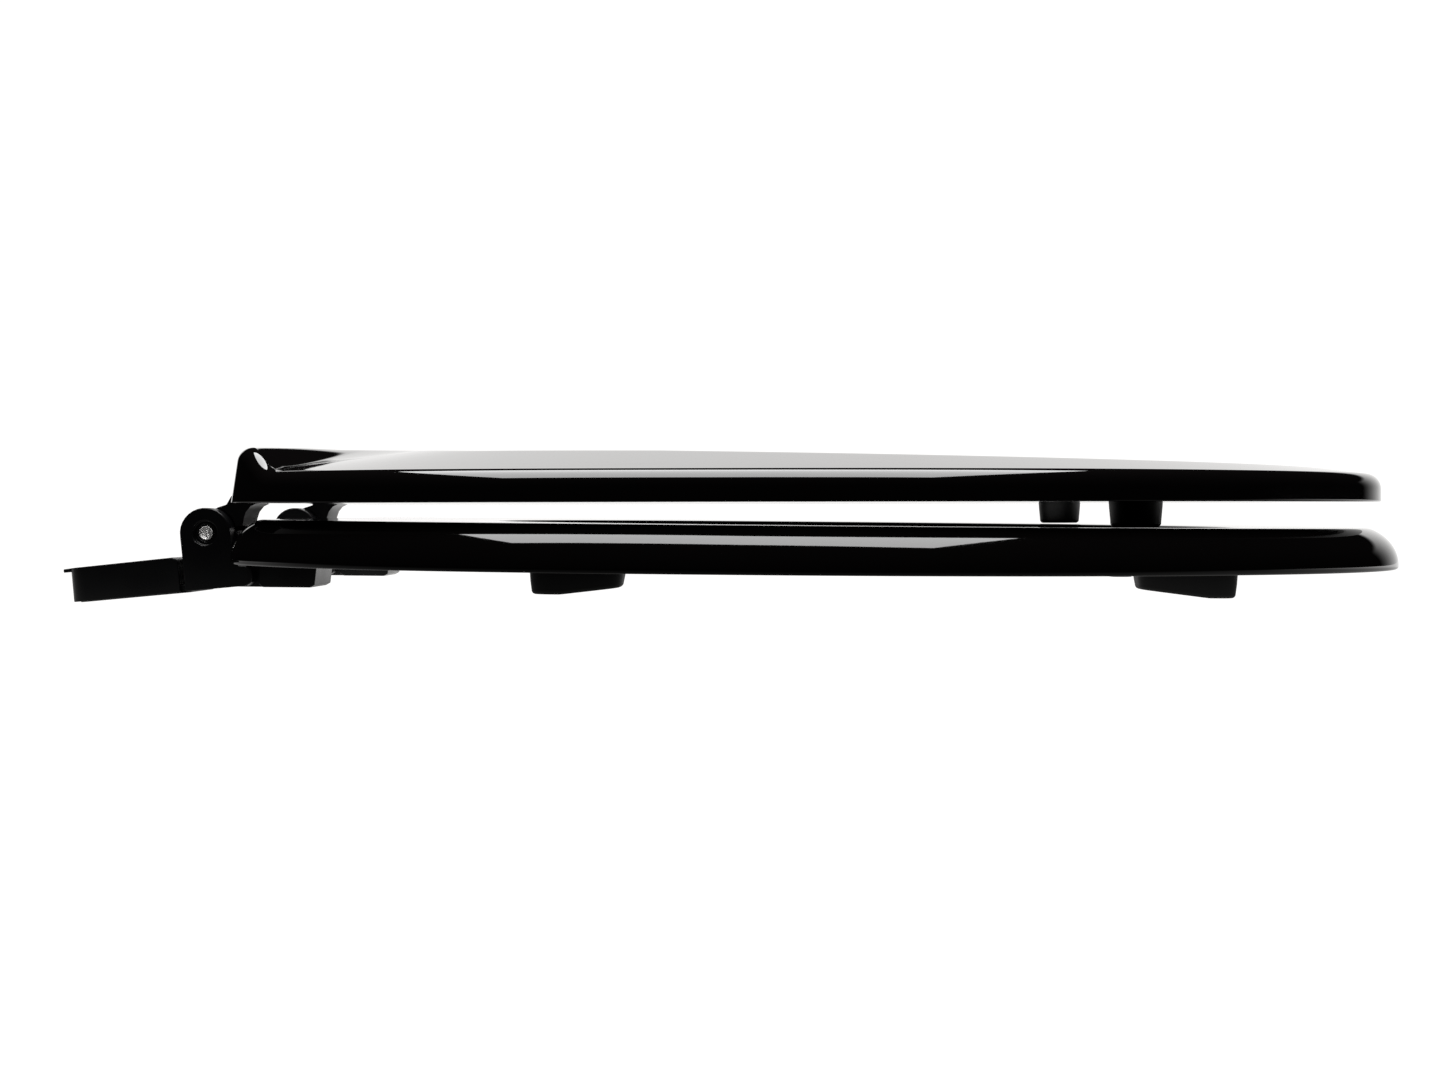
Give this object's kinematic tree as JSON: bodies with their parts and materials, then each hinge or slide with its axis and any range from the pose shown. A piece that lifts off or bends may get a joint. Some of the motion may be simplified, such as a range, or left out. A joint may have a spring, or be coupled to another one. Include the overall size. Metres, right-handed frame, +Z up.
{
  "type": "toilet seat",
  "caption": "Closed-front elongated toilet seat with a sculpted lid, on plastic hinges with steel pins, rubber bumpers and covered mounting bolts.",
  "frame": {"origin": "middle of the seat's outline, on the surface it stands on", "axes": "+X to the front of the seat, +Y to its left side, +Z up"},
  "size_m": [0.481, 0.366, 0.0541],
  "materials": {
    "lacquer": "high-gloss black lacquer over moulded wood",
    "plastic": "satin black moulding",
    "rubber": "matt black",
    "steel": "zinc plated"
  },
  "bodies": {
    "ring": {"seat_ring": "lacquer", "seat_strap_left": "plastic", "seat_strap_screw_left_1": "steel", "seat_strap_screw_left_2": "steel", "seat_strap_screw_left_3": "steel", "ring_bumper_front_left": "rubber", "ring_bumper_screw_front_left": "steel", "ring_bumper_rear_left": "rubber", "ring_bumper_screw_rear_left": "steel", "seat_strap_right": "plastic", "seat_strap_screw_right_1": "steel", "seat_strap_screw_right_2": "steel", "seat_strap_screw_right_3": "steel", "ring_bumper_front_right": "rubber", "ring_bumper_screw_front_right": "steel", "ring_bumper_rear_right": "rubber", "ring_bumper_screw_rear_right": "steel"},
    "lid": {"lid": "lacquer", "lid_strap_left": "plastic", "lid_strap_screw_left_1": "steel", "lid_strap_screw_left_2": "steel", "lid_strap_screw_left_3": "steel", "lid_bumper_left": "rubber", "lid_bumper_screw_left": "steel", "lid_strap_right": "plastic", "lid_strap_screw_right_1": "steel", "lid_strap_screw_right_2": "steel", "lid_strap_screw_right_3": "steel", "lid_bumper_right": "rubber", "lid_bumper_screw_right": "steel"},
    "post_left": {"hinge_post_left": "plastic", "hinge_pin_left": "steel"},
    "cap_left": {"bolt_cap_left": "plastic"},
    "post_right": {"hinge_post_right": "plastic", "hinge_pin_right": "steel"},
    "cap_right": {"bolt_cap_right": "plastic"}
  },
  "joints": [
    {"name": "seat_raise", "type": "hinge", "parent": "post_right", "child": "ring", "pos_m": [-0.18932, 0, 0.02386], "axis": [0, -1, 0], "range_deg": [0, 110]},
    {"name": "lid_raise", "type": "hinge", "parent": "ring", "child": "lid", "pos_m": [-0.18932, 0, 0.02386], "axis": [0, 1, 0], "range_deg": [-110, 0]},
    {"name": "left_post_swing", "type": "hinge", "parent": "ring", "child": "post_left", "pos_m": [-0.18932, 0, 0.02386], "axis": [0, 1, 0], "range_deg": [0, 110]},
    {"name": "left_cap_lift", "type": "slide", "parent": "post_left", "child": "cap_left", "axis": [-0.0837, 0, 0.9965], "range_m": [0, 0.007]},
    {"name": "right_cap_lift", "type": "slide", "parent": "post_right", "child": "cap_right", "axis": [-0.0837, 0, 0.9965], "range_m": [0, 0.007]}
  ]
}
